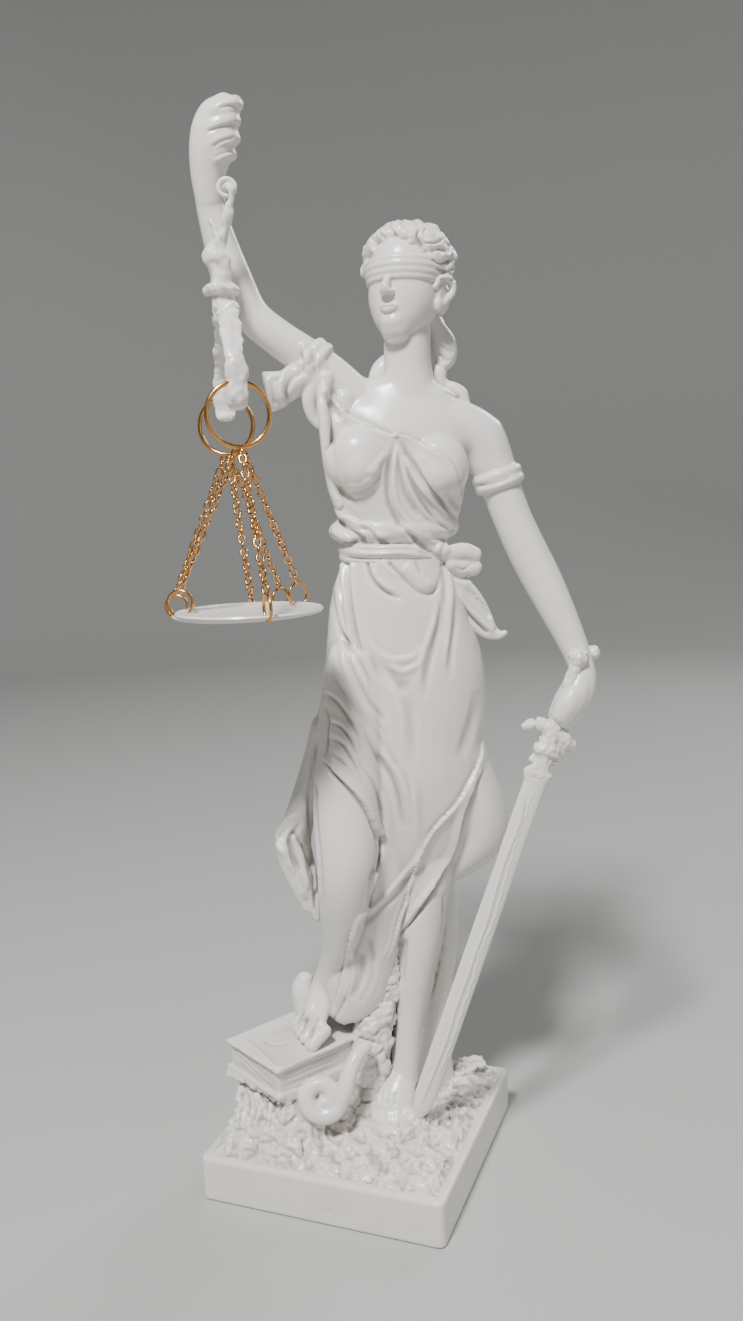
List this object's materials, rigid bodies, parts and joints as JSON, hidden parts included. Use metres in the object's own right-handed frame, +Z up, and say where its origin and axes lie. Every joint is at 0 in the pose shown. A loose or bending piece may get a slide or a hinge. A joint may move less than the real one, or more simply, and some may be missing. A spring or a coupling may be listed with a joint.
{
  "type": "lady justice statue",
  "caption": "Souvenir figure of a blindfolded woman in a draped robe, holding up hanging balance scales and lowering a sword, cast in one piece with a rock base on a square plinth.",
  "frame": {"origin": "centre of the plinth's underside", "axes": "+Z up, -Y out of the plinth's front face, +X to the viewer's right; the figure itself is turned 21 degrees to its plinth about +Z"},
  "size_m": [0.1268, 0.0987, 0.316],
  "materials": {
    "white_resin": "satin",
    "gold_brass": "polished"
  },
  "bodies": {
    "root": {"statue": "white_resin", "sword": "white_resin", "hand_loop": "white_resin", "balance_beam": "white_resin", "near_big_ring": "gold_brass", "near_pan": "white_resin", "near_small_ring_1": "gold_brass", "near_small_ring_2": "gold_brass", "near_small_ring_3": "gold_brass", "near_chain_1": "gold_brass", "near_chain_2": "gold_brass", "near_chain_3": "gold_brass", "far_big_ring": "gold_brass", "far_pan": "white_resin", "far_small_ring_1": "gold_brass", "far_small_ring_2": "gold_brass", "far_small_ring_3": "gold_brass", "far_chain_1": "gold_brass", "far_chain_2": "gold_brass", "far_chain_3": "gold_brass"}
  },
  "joints": []
}
